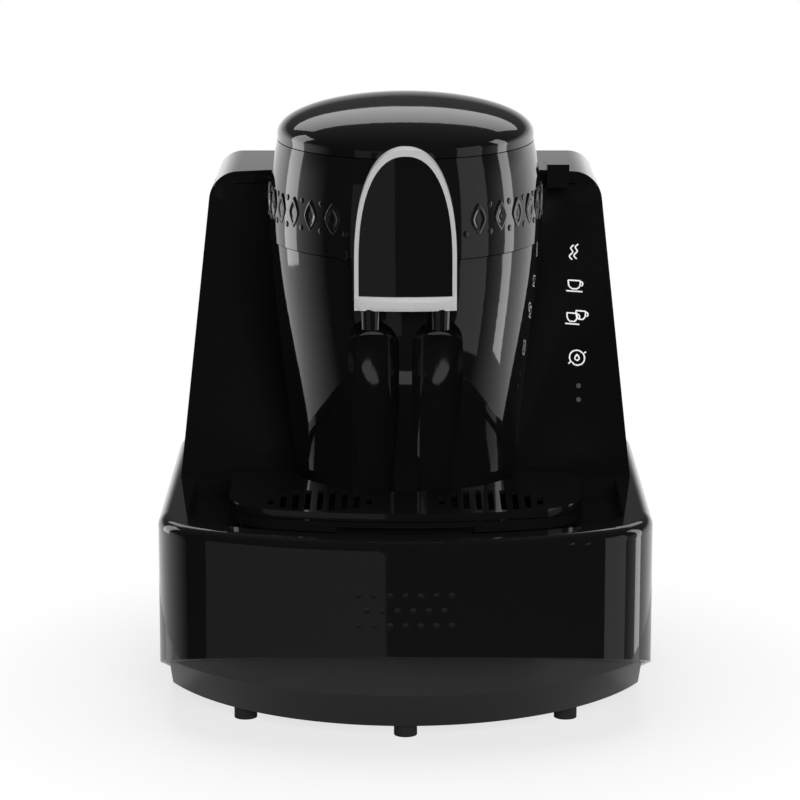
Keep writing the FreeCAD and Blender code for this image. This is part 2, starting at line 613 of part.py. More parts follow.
def pot_pieces():
    """The brewing pot, its heater and the drain valve under it."""
    r, low, high, wall = "pot_size / 2", "pot_low", "pot_high", "pot_wall"
    drain = "drain_size / 2"
    y = "-pot_back"
    turned("brew_pot", [(drain, low), (f"{r} - 8", low), (r, f"{low} + 8"), (r, f"{high} - pot_rim"),
                        (f"{r} + pot_flange", f"{high} - pot_rim"), (f"{r} + pot_flange", f"{high} - pot_rim + {wall}"),
                        (f"{r} - {wall}", f"{high} - pot_rim + {wall}"), (f"{r} - {wall}", f"{low} + 8.5"),
                        (f"{r} - 8.5", f"{low} + {wall}"), (drain, f"{low} + {wall}")], "0", y)
    turned("pot_heater", [(f"{drain} + 8", f"{low} - heater_thick"), (f"{r} - 10", f"{low} - heater_thick"),
                          (f"{r} - 10", low), (f"{drain} + 8", low)], "0", y)
    turned("drain_stem", [("0", "stem_low"), ("stem_size / 2", "stem_low"),
                          ("stem_size / 2", f"{low} + {wall} + seat_gap"),
                          (f"{drain} + 2", f"{low} + {wall} + seat_gap"),
                          (f"{drain} + 2", f"{low} + {wall} + 3"), ("0", f"{low} + {wall} + 6")], "0", y)
    turned("drain_chamber", [("stem_size / 2 + stem_gap", f"{low} - 22"), (f"{drain} + 6", f"{low} - 22"),
                             (f"{drain} + 6", low), (f"{drain}", low), (f"{drain}", f"{low} - 19"),
                             ("stem_size / 2 + stem_gap", f"{low} - 19")], "0", y)
    turned("drain_spring", [("stem_size / 2 + 1", "stem_low + 3"), ("stem_size / 2 + 3", "stem_low + 3"),
                            ("stem_size / 2 + 3", f"{low} - 22"), ("stem_size / 2 + 1", f"{low} - 22")], "0", y)
    turned("drain_stem_cap", [("stem_size / 2", "stem_low"), ("stem_size / 2 + 4", "stem_low"),
                              ("stem_size / 2 + 4", "stem_low + 3"), ("stem_size / 2", "stem_low + 3")], "0", y)
    turned("valve_solenoid", [("0", "stem_low - 34"), ("15", "stem_low - 34"),
                              ("15", "stem_low - stem_travel - 1"), ("0", "stem_low - stem_travel - 1")], "0", y)
    carved("drain_duct", ducts().cut(shape_of("drain_chamber")).common(barrel(-0.1)))


def ducts():
    """The two ducts from the drain valve to the spouts."""
    middle = worth("frame_spring - frame_side + frame_bar / 2")
    runs = []
    for side in (-1, 1):
        start = V(side * 3, -worth("pot_back + drain_size / 2"), middle)
        run = V(side * worth("spout_pitch") / 2, -worth("spout_front"), middle) - start
        runs.append(Part.makeCylinder(worth("duct_size") / 2, run.Length, start, run))
    return runs[0].fuse(runs[1])


def shape_of(name):
    """The computed shape of an object."""
    DOC.recompute()
    return DOC.getObject(name).Shape


def house_form(inset, skin=0, whole=False):
    """The housing behind the column, its walls drawn in by an inset and its wings also by a skin."""
    lo, hi = worth("wing_half_low") - inset, worth("wing_half_high") - inset
    base, top = worth("rim_high") + inset, worth("top_high")
    slope = (lo - hi) / (worth("wing_shoulder") - worth("rim_high"))
    high_half = lo - slope * (top - base)
    points = [V(-lo, 0, base), V(lo, 0, base), V(high_half, 0, top), V(-high_half, 0, top)]
    deep = worth("tank_back") if whole else worth("house_back") - inset
    side = Part.Face(Part.makePolygon(points + points[:1])).extrude(V(0, deep, 0))
    corner = worth("wing_corner") - inset
    edges = [e for e in side.Edges if abs(e.CenterOfMass.z - top) < 1e-3 and abs(e.CenterOfMass.x) > 50]
    side = side.makeFillet(corner, edges)
    yaw, lean = math.radians(worth("wing_yaw")), math.radians(worth("wing_lean"))
    radius = worth("wing_hollow")
    edge = V(worth("wing_half_low"), worth("house_front"), worth("rim_high"))
    inner = worth("wing_inner")
    chord = (edge.x - inner) / math.cos(yaw)
    sagitta = radius - math.sqrt(radius ** 2 - chord ** 2 / 4)
    middle = V((edge.x + inner) / 2, edge.y + (edge.x - inner) / 2 * math.tan(yaw), edge.z)
    centre = middle + V(-math.sin(yaw), -math.cos(yaw), 0) * (radius - sagitta)
    along = V(0, math.sin(lean), math.cos(lean))
    for sign in (-1, 1):
        foot = V(sign * centre.x, centre.y, centre.z) - along * 30
        side = side.cut(Part.makeCylinder(radius + inset + skin, 300, foot, along))
    if whole:
        return side
    return side.cut(barrel(worth("groove_step + barrel_gap") + inset)).common(slab(0, worth("house_high") - inset))


def house_pieces():
    """The housing, its two wing panels and the board behind the touch keys."""
    skin, wall = worth("wing_skin"), worth("house_wall")
    outside = house_form(0)
    behind = house_form(0, skin)
    room = house_form(wall, skin)
    blank = largest(behind.cut(room))
    bracket = shape_of("lid_hinge_bracket")
    front = outside.cut(behind)
    wide = worth("base_half")
    inner = worth("foot_oval_width - wing_skin * 4")
    for name, start in (("wing_panel_left", -wide - inner), ("wing_panel_right", inner)):
        half = Part.makeBox(wide, 2 * wide, 3 * wide, V(start, -wide, 0))
        carved(name, largest(front.common(half)))
    carved("rear_housing", largest(blank.cut(bracket)))


def tank_pieces():
    """The water tank, its lid with the notch for the head, the valve and the socket below."""
    half, wall = worth("tank_half"), worth("tank_wall")
    front, back = worth("house_back + tank_gap"), worth("tank_back")
    low, high = worth("tank_low"), worth("house_high")
    outer = upright(Part.makeBox(2 * half, back - front, high - low, V(-half, front, low)), worth("tank_round"))
    room = upright(Part.makeBox(2 * (half - wall), back - front - 2 * wall, high - low,
                                V(-half + wall, front + wall, low + wall)), worth("tank_round") - wall)
    y = worth("socket_back")
    hole = Part.makeCylinder(worth("valve_size") / 2, 20, V(0, y, low - 5))
    hinge_y, hinge_z = back + 4.6, high - 8
    carved("water_tank", outer.cut(room).cut(hole).fuse(tank_ears(hinge_y, hinge_z)))
    cover_low = high + worth("cover_gap")
    cover = house_cover(cover_low)
    tube = Part.makeCylinder(4, 60, V(-30, hinge_y, hinge_z), V(1, 0, 0))
    arm = Part.makeBox(60, 4, cover_low + 3 - hinge_z, V(-30, hinge_y, hinge_z))
    tie = Part.makeBox(60, hinge_y + 4 - back + 2, 3, V(-30, back - 2, cover_low))
    cover = cover.fuse([tube, arm, tie])
    play = worth("lid_pin_size") / 2 + worth("pin_play")
    cover = cover.cut(Part.makeCylinder(play, 80, V(-40, hinge_y, hinge_z), V(1, 0, 0)))
    carved("tank_lid", largest(cover))
    carved("tank_hinge_pin", Part.makeCylinder(worth("lid_pin_size") / 2, 74, V(-37, hinge_y, hinge_z),
                                               V(1, 0, 0)))
    r = "valve_size / 2"
    turned("tank_valve", [(f"{r} - 4", "tank_low - 8"), (r, "tank_low - 8"), (r, "tank_low + tank_wall"),
                          (f"{r} + 3", "tank_low + tank_wall"), (f"{r} + 3", "tank_low + tank_wall + 2"),
                          (f"{r} - 4", "tank_low + tank_wall + 2")], "0", "socket_back")
    turned("tank_socket", [("0", "tank_low - 34"), ("socket_size / 2", "tank_low - 34"),
                           ("socket_size / 2", "rim_high"), (f"{r} + socket_play", "rim_high"),
                           (f"{r} + socket_play", "tank_low - 12"), ("0", "tank_low - 12")], "0", "socket_back")


def upright(block, radius):
    """A block with its upright edges rounded."""
    edges = [e for e in block.Edges if abs(e.Vertexes[0].Point.z - e.Vertexes[-1].Point.z) > 1]
    return block.makeFillet(radius, edges)


def tank_ears(y, z):
    """Two ears on the back of the tank that hold its lid's pin."""
    ears = []
    for start in (-37, 30.4):
        ear = Part.makeCylinder(4, 6.6, V(start, y, z), V(1, 0, 0))
        web = Part.makeBox(6.6, 6, 8, V(start, y - 6, z - 4))
        ears.append(ear.fuse(web))
    both = ears[0].fuse(ears[1])
    return both.cut(Part.makeCylinder(worth("lid_pin_size") / 2, 90, V(-45, y, z), V(1, 0, 0)))


def house_cover(low):
    """The lid over tank and housing, with the notch for the head and the thumb tab."""
    high = worth("top_high")
    cover = house_form(0, 0, True).common(slab(low, high))
    gap = worth("cover_head_gap")
    cover = cover.cut(barrel(worth("groove_step") + gap))
    notch = worth("knuckle_half + side_play + ear_width") + gap
    reach = worth("lid_pin_back + knuckle_size / 2") + gap
    cover = cover.cut(Part.makeBox(2 * notch, reach, 60, V(-notch, 0, low - 20)))
    width, start = 2 * worth("tab_half"), worth("tab_out - tab_half")
    tab = Part.makeBox(width, 22, worth("tab_high") + 1, V(start, 27, high - 1))
    lip = Part.makeBox(width, 5, high - low + worth("tab_high"), V(start, 27, low))
    return cover.fuse(tab).fuse(lip)


def tray_pieces():
    """The drip tray and the slotted grille that lies in it."""
    body = tray_pod("tray_body", "flange_over", "bowl_low + tray_rest", "flange_low")
    flange = tray_pod("tray_flange", "0", "flange_low", "tray_high")
    room = tray_pod("tray_room", "flange_over + tray_wall", "bowl_low + tray_rest + tray_wall", "tray_high + 1")
    grow = worth("tray_barrel_gap")
    span = slab(worth("bowl_low") - 5, worth("neck_high"))
    round_column = carved("tray_column_cut", straight_oval(grow).common(span))
    wall_round = carved("tray_room_limit", straight_oval(grow + worth("tray_wall")).common(span))
    notch = box("tray_notch", ("-notch_half", "notch_half"), ("-base_front", "-tray_front + 6"),
                ("flange_low - 1", "flange_low + 2.6"))
    cut("drip_tray", fuse("tray_blank", body, flange), cut("tray_hollow", room, wall_round), round_column, notch)
    plate = tray_pod("grille_plate_blank", "1", "grille_high - grille_plate", "grille_high")
    edge = cut("grille_edge", tray_pod("grille_rim", "0.4", "grille_high - grille_thick", "grille_high"),
               tray_pod("grille_under", "3", "grille_high - grille_thick - 1", "grille_high - grille_plate"))
    slots = []
    count, pitch, rest = 4, worth("bar_pitch"), worth("cup_rest")
    for side in (-1, 1):
        for step in range(-count, count + 1):
            reach = math.sqrt(max(rest ** 2 - (step * pitch) ** 2, 1))
            x = side * worth("cup_out") + step * pitch - worth("slot_width") / 2
            slots.append(Part.makeBox(worth("slot_width"), 2 * reach * 0.8, 20,
                                      V(x, -worth("cup_front") - reach * 0.7, worth("grille_high") - 10)))
    holes = carved("grille_slots", Part.makeCompound(slots))
    grille_column = carved("grille_column_cut", straight_oval(grow + worth("grille_clear")).common(span))
    cut("drip_grille", fuse("grille_blank", plate, edge), holes, grille_column)


def straight_oval(grow):
    """An upright oval round the column's foot, as tall as the tray needs."""
    wire = oval(worth("foot_oval_width") + grow + 2, worth("foot_oval_front") + grow, worth("barrel_back"), 0)
    wire.translate(V(0, 0, worth("bowl_low") - 5))
    return Part.Face(wire).extrude(V(0, 0, 100))


def wing_middle():
    """How far out the middle of a wing is."""
    return worth("(wing_inner + wing_half_high) / 2")


def inner_pieces():
    """The pump, the boards, the sensor, the mains switch and the cord's gland."""
    y = worth("house_back")
    floor = worth("shell_low + pan_wall")
    body = Part.makeCylinder(19, 62, V(-75, 60, floor + 24), V(1, 0, 0))
    head = Part.makeCylinder(13, 20, V(-13, 60, floor + 24), V(1, 0, 0))
    carved("water_pump", body.fuse(head))
    rests = [Part.makeBox(8, 44, 24, V(x, 38, floor)) for x in (-70, -32)]
    carved("pump_mounts", Part.makeCompound([r.cut(body) for r in rests]))
    carved("power_board", Part.makeBox(80, 60, 1.6, V(20, 20, floor + 8)))
    posts = [Part.makeCylinder(3, 8, V(x, yy, floor)) for x in (26, 94) for yy in (26, 74)]
    carved("board_posts", Part.makeCompound(posts))
    carved("power_parts", Part.makeCompound([Part.makeBox(24, 22, 18, V(30, 34, floor + 9.6)),
                                             Part.makeCylinder(8, 20, V(80, 45, floor + 9.6))]))
    x, z = worth("cord_out"), worth("cord_high")
    back = worth("base_back")
    start = back - worth("shell_wall") - 2
    gland = Part.makeCylinder(worth("gland_size") / 2 - 0.05, back + 2 - start, V(x, start, z), V(0, 1, 0))
    gland = gland.fuse(Part.makeCylinder(worth("gland_size") / 2 + 2, 2, V(x, start, z), V(0, 1, 0)))
    carved("cord_gland", gland.cut(Part.makeCylinder(3.6, 20, V(x, start - 5, z), V(0, 1, 0))))
    half = worth("switch_half")
    case = Part.makeBox(2 * half - 0.2, 16, 13.8, V(-x - half + 0.1, back - 15.4, z - 6.9))
    lip = Part.makeBox(2 * half + 4, 1.4, 18, V(-x - half - 2, back, z - 9))
    well = Part.makeBox(2 * half - 4, 12, 11, V(-x - half + 2, back - 8, z - 5.5))
    carved("switch_case", case.fuse(lip).cut(well))
    rocker = Part.makeCylinder(5, 2 * half - 5, V(-x - half + 2.5, back - 3, z), V(1, 0, 0))
    carved("power_switch", rocker)
    carved("control_board", Part.makeBox(34, 1.6, 90, V(wing_middle() - 17, y - 12, worth("rim_high") + 30)))


NODES = [
    "base_pan", "base_shell", "feet", "deck", "column_shell", "head_ring", "head_roof", "lid", "lid_liner",
    "lid_hinge_pin", "lid_hinge_bracket", "spout_frame", "spout_panel", "spout_left", "spout_right",
    "brew_pot", "pot_heater", "drain_stem", "drain_stem_cap", "drain_spring", "drain_chamber", "drain_duct",
    "valve_solenoid", "rear_housing", "wing_panel_left", "wing_panel_right", "control_board", "water_tank",
    "tank_lid", "tank_hinge_pin", "tank_valve", "tank_socket", "drip_tray", "drip_grille", "water_pump",
    "pump_mounts", "power_board", "board_posts", "power_parts", "cord_gland", "switch_case", "power_switch",
]


def write_nodes():
    """Checks every object and writes each sub-part to its own file."""
    DOC.recompute()
    bad = [o.Name for o in DOC.Objects if "Invalid" in o.State or "Error" in o.State]
    for node in NODES:
        shape = DOC.getObject(node).Shape
        if shape.isNull() or not shape.isValid() or not shape.Solids:
            bad.append(node)
    if bad:
        raise RuntimeError(f"not sound: {bad}")
    os.makedirs("parts", exist_ok=True)
    for node in NODES:
        thing = DOC.getObject(node)
        thing.Label = node
        thing.Shape.exportStep(f"parts/{node}.step")


fill_sheet()
base_pieces()
column_pieces()
lid_pieces()
spout_pieces()
pot_pieces()
house_pieces()
tank_pieces()
tray_pieces()
inner_pieces()
write_nodes()
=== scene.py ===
"""The looks of an electric coffee maker, laid out as an add-on and run as a script.

Metres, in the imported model's own frame: +Z up, -Y the front, the origin on the table.
"""
import json
import math
import bmesh
import bpy
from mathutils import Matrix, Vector
from mathutils.bvhtree import BVHTree


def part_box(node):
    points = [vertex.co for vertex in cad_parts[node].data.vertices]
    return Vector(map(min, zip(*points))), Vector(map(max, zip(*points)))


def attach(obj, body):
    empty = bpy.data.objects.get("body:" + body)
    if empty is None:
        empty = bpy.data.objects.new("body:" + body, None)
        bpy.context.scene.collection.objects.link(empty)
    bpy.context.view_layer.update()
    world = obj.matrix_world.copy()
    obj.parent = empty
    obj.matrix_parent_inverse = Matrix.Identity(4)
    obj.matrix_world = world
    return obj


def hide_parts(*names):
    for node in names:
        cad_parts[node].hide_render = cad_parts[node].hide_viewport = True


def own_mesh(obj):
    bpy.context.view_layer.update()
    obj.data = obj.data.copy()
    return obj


bl_info = {
    "name": "Electric coffee maker",
    "version": (1, 0, 0),
    "blender": (4, 5, 0),
    "location": "View3D > Sidebar > Coffee maker",
    "description": "Dresses a packed coffee maker with finishes, keys, trim and a stage",
    "category": "Object",
}

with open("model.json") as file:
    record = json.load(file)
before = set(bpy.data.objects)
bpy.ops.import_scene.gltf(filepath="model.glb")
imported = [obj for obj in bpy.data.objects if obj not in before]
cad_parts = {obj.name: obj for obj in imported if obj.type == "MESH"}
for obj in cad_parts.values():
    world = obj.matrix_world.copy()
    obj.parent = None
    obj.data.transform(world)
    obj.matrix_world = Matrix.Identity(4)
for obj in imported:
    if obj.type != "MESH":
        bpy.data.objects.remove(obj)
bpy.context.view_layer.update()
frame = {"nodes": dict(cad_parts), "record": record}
MM = 0.001

# The camera's place, what it looks at, its lens, sensor and shift, from the photograph's perspective.
CAMERA_PLACE = (0.0, -1.7607, 0.5342)
CAMERA_TARGET = (0.0, 0.0, 0.160)
CAMERA_LENS = 151.08
CAMERA_SENSOR = 36.0
CAMERA_SHIFT = (-0.0069, -0.0100)

# The lamps face the machine's middle: name, place, width and height, power, and whether gloss shows them.
MIDDLE = (0.0, 0.0, 0.16)
LAMPS = (
    ("left soft lamp", (-1.4, 0.8, 0.5), (0.5, 1.3), 4, True),
    ("right strip lamp", (1.35, 0.35, 0.3), (0.28, 1.5), 3.2, True),
    ("right veil lamp", (1.7, -0.7, 0.1), (0.9, 1.8), 2.5, True),
    ("front veil lamp", (-1.1, -1.95, -0.25), (2.0, 1.5), 1.4, True),
    ("rear soft lamp", (0, 2.2, 1.75), (3.2, 0.9), 11, True),
    ("top soft lamp", (0, 0, 1.8), (1.2, 1.2), 16, False),
    ("front fill lamp", (0.3, -2.3, 1.1), (1.2, 1.2), 45, False),
)

# The floor is a disc that only just reaches past the machine.
FLOOR_REACH = 0.27
FLOOR_SIDES = 96

# The depth of moulded and ground grain, and the smoothest that any finish gets.
GRAIN_DEPTH = 0.0002
LEAST_ROUGHNESS = 0.02

# The wings' skins are a little less glossy than the rest of the housing.
WING_PANELS = ("wing_panel_left", "wing_panel_right")
WING_ROUGHNESS = 0.15

# In front of everything, where the search for the surface that faces the viewer starts.
IN_FRONT = -0.3

# Each key's place in millimetres: how far out from the first one, and how high.
KEY_PLACES = ((0, 229.5), (1, 211.8), (1.5, 194.5), (2.6, 172.8))

# How far print stands off its surface, and the two small lamps under the keys.
PRINT_LIFT = 0.00004
KEY_LAMP_HEIGHTS = (0.1577, 0.1502)
KEY_LAMP_OUT = 0.0035
KEY_LAMP_RADIUS = 0.0014
KEY_LAMP_DEPTH = 0.00008

# The relief band: how far out the search for the head starts, half the width that is left out behind the
# spout frame, where the housing begins, and how far the beads are from the middle, in lozenge heights.
BAND_START = 0.2
FRAME_CLEAR = 0.0305
HOUSING_FRONT = 0.03
BEAD_OFFSET = 0.42

# A lozenge as rings: a share of its outline and of its relief.
LOZENGE_RINGS = ((1.0, -1.0), (1.0, 0.0), (0.9, 1.0), (0.66, 1.0), (0.56, 0.1), (0.2, 0.5))
LOZENGE_SIDES = 32
LOZENGE_POINTEDNESS = 1.5

# Each small turned shape as rings: a share of its radius and of its rise. A row of holes is its place above
# the middle one, counted in pitches, and how many it has.
BEAD_RINGS = ((1.0, -0.5), (1.0, 0.2), (0.8, 0.7), (0.4, 1.0))
BEAD_SIDES = 16
BEAD_RADIUS = 0.0017
HOLE_RINGS = ((1.0, -1.0), (1.0, 0.6), (0.9, 1.0), (0.85, 0.2))
HOLE_SIDES = 18
HOLE_ROWS = ((1, 7), (0, 6), (-1, 7))
HOLE_LIP = 0.00012
SCREW_RINGS = ((1.0, -0.4), (1.0, 0.6), (0.75, 1.1), (0.4, 1.2), (0.36, 0.3))
SCREW_SIDES = 24
SCREW_PLACES = [(x, y) for x in (-0.07, 0.07) for y in (-0.03, 0.09)]

# Scattered shapes come at the size they are made in.
OWN_SIZE = 1.0

# The plug on the joint under the head.
PLUG_PLACE = (-0.0317, 0.2478)
PLUG_RADIUS = 0.003
PLUG_DEPTH = 0.0004
PLUG_SIDES = 28

# How flat the bar's crown stays before it falls away, up its height and along its length.
BAR_FLATNESS_UP = 4
BAR_FLATNESS_ALONG = 8

# How finely the bar's face and the spring are divided.
BAR_COLUMNS = 40
BAR_ROWS = 6
STEPS_PER_TURN = 24
WIRE_SIDES = 8


class FinishSettings(bpy.types.PropertyGroup):
    """Colours and finishes that a user would change."""
    gloss_colour: bpy.props.FloatVectorProperty(
        name="Housing colour", description="Colour of the glossy mouldings", subtype="COLOR", size=3,
        min=0.0, max=1.0, default=(0.006, 0.006, 0.0065))
    metal_colour: bpy.props.FloatVectorProperty(
        name="Frame colour", description="Colour of the satin metal frame", subtype="COLOR", size=3,
        min=0.0, max=1.0, default=(0.88, 0.88, 0.89))
    gloss_roughness: bpy.props.FloatProperty(
        name="Gloss", description="Roughness of the glossy mouldings", default=0.055, min=0.0, max=1.0,
        subtype="FACTOR")


class KeySettings(bpy.types.PropertyGroup):
    """The touch keys on the right wing."""
    key_out: bpy.props.FloatProperty(
        name="Keys' place", description="How far out the column of keys is", default=0.0907,
        subtype="DISTANCE")
    line_width: bpy.props.FloatProperty(
        name="Line width", description="Width of the printed lines", default=0.00075, subtype="DISTANCE")


class BandSettings(bpy.types.PropertyGroup):
    """The relief band round the head."""
    band_height: bpy.props.FloatProperty(
        name="Band height", description="Height of the band's middle", default=0.2655, subtype="DISTANCE")
    lozenge_height: bpy.props.FloatProperty(
        name="Lozenge height", description="Height of one raised lozenge", default=0.0165,
        subtype="DISTANCE")
    lozenge_width: bpy.props.FloatProperty(
        name="Lozenge width", description="Width of one raised lozenge", default=0.0100,
        subtype="DISTANCE")
    relief: bpy.props.FloatProperty(
        name="Relief", description="How far the band stands proud", default=0.0005, subtype="DISTANCE")
    motif_count: bpy.props.IntProperty(
        name="Lozenges", description="Number of lozenges round the head", default=34, min=3)


class TrimSettings(bpy.types.PropertyGroup):
    """The small holes in the base, the frame's bar, the valve's spring and the screws."""
    hole_size: bpy.props.FloatProperty(
        name="Hole size", description="Diameter of a hole in the base", default=0.0033,
        subtype="DISTANCE")
    hole_pitch: bpy.props.FloatProperty(
        name="Hole pitch", description="Distance between the holes", default=0.0078,
        subtype="DISTANCE")
    holes_height: bpy.props.FloatProperty(
        name="Holes' height", description="Height of the middle row", default=0.0765,
        subtype="DISTANCE")
    bar_height: bpy.props.FloatProperty(
        name="Bar height", description="Height of the frame's lower bar", default=0.0070,
        subtype="DISTANCE")
    bar_corner: bpy.props.FloatProperty(
        name="Bar corner", description="Radius of the bar's lower corners", default=0.0035,
        subtype="DISTANCE")
    bar_proud: bpy.props.FloatProperty(
        name="Bar crown", description="How far the bar's face stands out in its middle", default=0.0009,
        subtype="DISTANCE")
    frame_bulge: bpy.props.FloatProperty(
        name="Frame bulge", description="Radius of the frame's front in plan", default=0.110,
        subtype="DISTANCE")
    wire_size: bpy.props.FloatProperty(
        name="Spring wire", description="Diameter of the valve spring's wire", default=0.0012,
        subtype="DISTANCE")
    spring_turns: bpy.props.IntProperty(
        name="Spring turns", description="Turns of the valve spring", default=5, min=2)
    screw_size: bpy.props.FloatProperty(
        name="Screw size", description="Diameter of a screw's head", default=0.0062,
        subtype="DISTANCE")


def new_material(name):
    """A material with its nodes, its links and its shader."""
    made = bpy.data.materials.new(name)
    made.use_nodes = True
    nodes = made.node_tree.nodes
    return made, nodes, made.node_tree.links, nodes["Principled BSDF"]


def map_range(nodes, from_min, from_max, to_min, to_max):
    """A node that maps one range of numbers onto another."""
    made = nodes.new("ShaderNodeMapRange")
    made.inputs["From Min"].default_value = from_min
    made.inputs["From Max"].default_value = from_max
    made.inputs["To Min"].default_value = to_min
    made.inputs["To Max"].default_value = to_max
    return made


def math_node(nodes, operation):
    """A node that works out one number from two."""
    made = nodes.new("ShaderNodeMath")
    made.operation = operation
    return made


def add_grain(parts, scale, detail, roughness, spread, bump, stretch=(1, 1, 1)):
    """Varies a shader's roughness and surface by a noise on the object's own coordinates."""
    nodes, links, shader = parts[1:]
    place = nodes.new("ShaderNodeTexCoord")
    mapping = nodes.new("ShaderNodeMapping")
    mapping.inputs["Scale"].default_value = stretch
    noise = nodes.new("ShaderNodeTexNoise")
    noise.inputs["Scale"].default_value = scale
    noise.inputs["Detail"].default_value = detail
    spreader = map_range(nodes, 0.0, 1.0, max(roughness - spread, LEAST_ROUGHNESS), roughness + spread)
    height = nodes.new("ShaderNodeBump")
    height.inputs["Strength"].default_value = bump
    height.inputs["Distance"].default_value = GRAIN_DEPTH
    links.new(place.outputs["Object"], mapping.inputs["Vector"])
    links.new(mapping.outputs["Vector"], noise.inputs["Vector"])
    links.new(noise.outputs["Fac"], spreader.inputs["Value"])
    links.new(spreader.outputs["Result"], shader.inputs["Roughness"])
    links.new(noise.outputs["Fac"], height.inputs["Height"])
    links.new(height.outputs["Normal"], shader.inputs["Normal"])
    return noise


def gloss_moulding(name, colour, roughness):
    """High gloss moulded plastic."""
    parts = new_material(name)
    shader = parts[3]
    shader.inputs["Base Color"].default_value = (*colour, 1)
    shader.inputs["IOR"].default_value = 1.5
    shader.inputs["Coat Weight"].default_value = 0.25
    shader.inputs["Coat Roughness"].default_value = 0.03
    add_grain(parts, scale=55, detail=3, roughness=roughness, spread=0.02, bump=0.012)
    return parts[0]


def fine_matt(name, colour, roughness):
    """Finely textured plastic or rubber."""
    parts = new_material(name)
    parts[3].inputs["Base Color"].default_value = (*colour, 1)
    add_grain(parts, scale=900, detail=4, roughness=roughness, spread=0.06, bump=0.05)
    return parts[0]


def satin_metal(name, colour, roughness, stretch=(1, 1, 1), metallic=1.0):
    """Satin or brushed metal, its grain drawn out along one way."""
    parts = new_material(name)
    parts[3].inputs["Base Color"].default_value = (*colour, 1)
    parts[3].inputs["Metallic"].default_value = metallic
    add_grain(parts, scale=260, detail=2, roughness=roughness, spread=0.03, bump=0.004, stretch=stretch)
    return parts[0]


def smoke_plastic(name):
    """Clear plastic with a smoke tint."""
    parts = new_material(name)
    shader = parts[3]
    shader.inputs["Base Color"].default_value = (0.10, 0.10, 0.11, 1)
    shader.inputs["Transmission Weight"].default_value = 0.8
    shader.inputs["IOR"].default_value = 1.45
    add_grain(parts, scale=40, detail=2, roughness=0.08, spread=0.02, bump=0.01)
    return parts[0]


def board_lacquer(name):
    """A circuit board's green lacquer with its tracks."""
    parts = new_material(name)
    made, nodes, links, shader = parts
    noise = add_grain(parts, scale=300, detail=2, roughness=0.35, spread=0.05, bump=0.1)
    ramp = nodes.new("ShaderNodeValToRGB")
    ramp.color_ramp.interpolation = "CONSTANT"
    ramp.color_ramp.elements[0].color = (0.012, 0.10, 0.035, 1)
    ramp.color_ramp.elements[1].color = (0.03, 0.20, 0.07, 1)
    ramp.color_ramp.elements[1].position = 0.52
    links.new(noise.outputs["Fac"], ramp.inputs["Fac"])
    links.new(ramp.outputs["Color"], shader.inputs["Base Color"])
    return made


def printed_white(name, colour, painted_glow):
    """White print on the gloss, or a lamp that isn't lit. A glow above nought is painted light: emission that
    brightens the print where lamps light it too little.
    """
    parts = new_material(name)
    shader = parts[3]
    shader.inputs["Base Color"].default_value = (*colour, 1)
    # Painted light: any glow here brightens the print in place of light falling on it, as the print is no
    # lamp.
    shader.inputs["Emission Color"].default_value = (*colour, 1)
    shader.inputs["Emission Strength"].default_value = painted_glow
    add_grain(parts, scale=500, detail=2, roughness=0.3, spread=0.05, bump=0.02)
    return parts[0]


def make_materials(finish):
    """Every finish on the machine, by the record's slot names and by the trim's own."""
    gloss = tuple(finish.gloss_colour)
    metal = tuple(finish.metal_colour)
    rough = finish.gloss_roughness
    return {
        "gloss_black": gloss_moulding("housing gloss", gloss, rough),
        "panel_black": gloss_moulding("spout panel gloss", gloss, rough - 0.01),
        "wing_black": gloss_moulding("wing panel gloss", gloss, WING_ROUGHNESS),
        "tray_black": gloss_moulding("tray gloss", gloss, rough + 0.03),
        "grille_black": gloss_moulding("grille gloss", gloss, rough + 0.02),
        "dark_plastic": fine_matt("dark fine plastic", (0.006, 0.006, 0.0065), 0.24),
        "rubber": fine_matt("black rubber", (0.02, 0.02, 0.02), 0.75),
        "hose": fine_matt("silicone tube", (0.55, 0.54, 0.5), 0.45),
        "satin_chrome": satin_metal("satin frame metal", metal, 0.34, metallic=0.35),
        "steel": satin_metal("brushed pot steel", (0.6, 0.6, 0.61), 0.24, stretch=(1, 1, 12)),
        "aluminium": satin_metal("plain aluminium", (0.68, 0.68, 0.69), 0.38),
        "board": board_lacquer("board lacquer"),
        "smoke_tank": smoke_plastic("smoked tank plastic"),
        # The key print glows a little: painted light that brightens the white print, which is no lamp.
        "key_print": printed_white("key print", (0.85, 0.86, 0.88), 0.35),
        "lamp_grey": printed_white("unlit lamps", (0.10, 0.10, 0.11), 0.0),
        "hole_dark": fine_matt("hole shadow", (0.003, 0.003, 0.003), 0.6),
    }


FINISHES = {}


def surface_of(node):
    """A search tree over a node's outside."""
    mesh = frame["nodes"][node].data
    corners = [v.co.copy() for v in mesh.vertices]
    faces = [tuple(p.vertices) for p in mesh.polygons]
    return BVHTree.FromPolygons(corners, faces)


def seen_from_front(surface, x, z):
    """The point of a surface that faces the front at a place, and its normal."""
    spot, normal, _, _ = surface.ray_cast(Vector((x, IN_FRONT, z)), Vector((0, 1, 0)))
    if spot is None:
        raise RuntimeError(f"nothing faces the front at {x:.4f}, {z:.4f}")
    if normal.y > 0:
        normal = -normal
    return spot, normal


def finished(name, mesh, body, finish):
    """An object of a mesh that rides on a body and takes a finish."""
    made = bpy.data.objects.new(name, mesh)
    bpy.context.scene.collection.objects.link(made)
    made.data.materials.clear()
    made.data.materials.append(FINISHES[finish])
    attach(made, body)
    return made


def arc(x, z, radius, start, end, steps=14):
    """Points along an arc, angles in degrees."""
    turns = [math.radians(start + (end - start) * n / steps) for n in range(steps + 1)]
    return [(x + radius * math.cos(turn), z + radius * math.sin(turn)) for turn in turns]


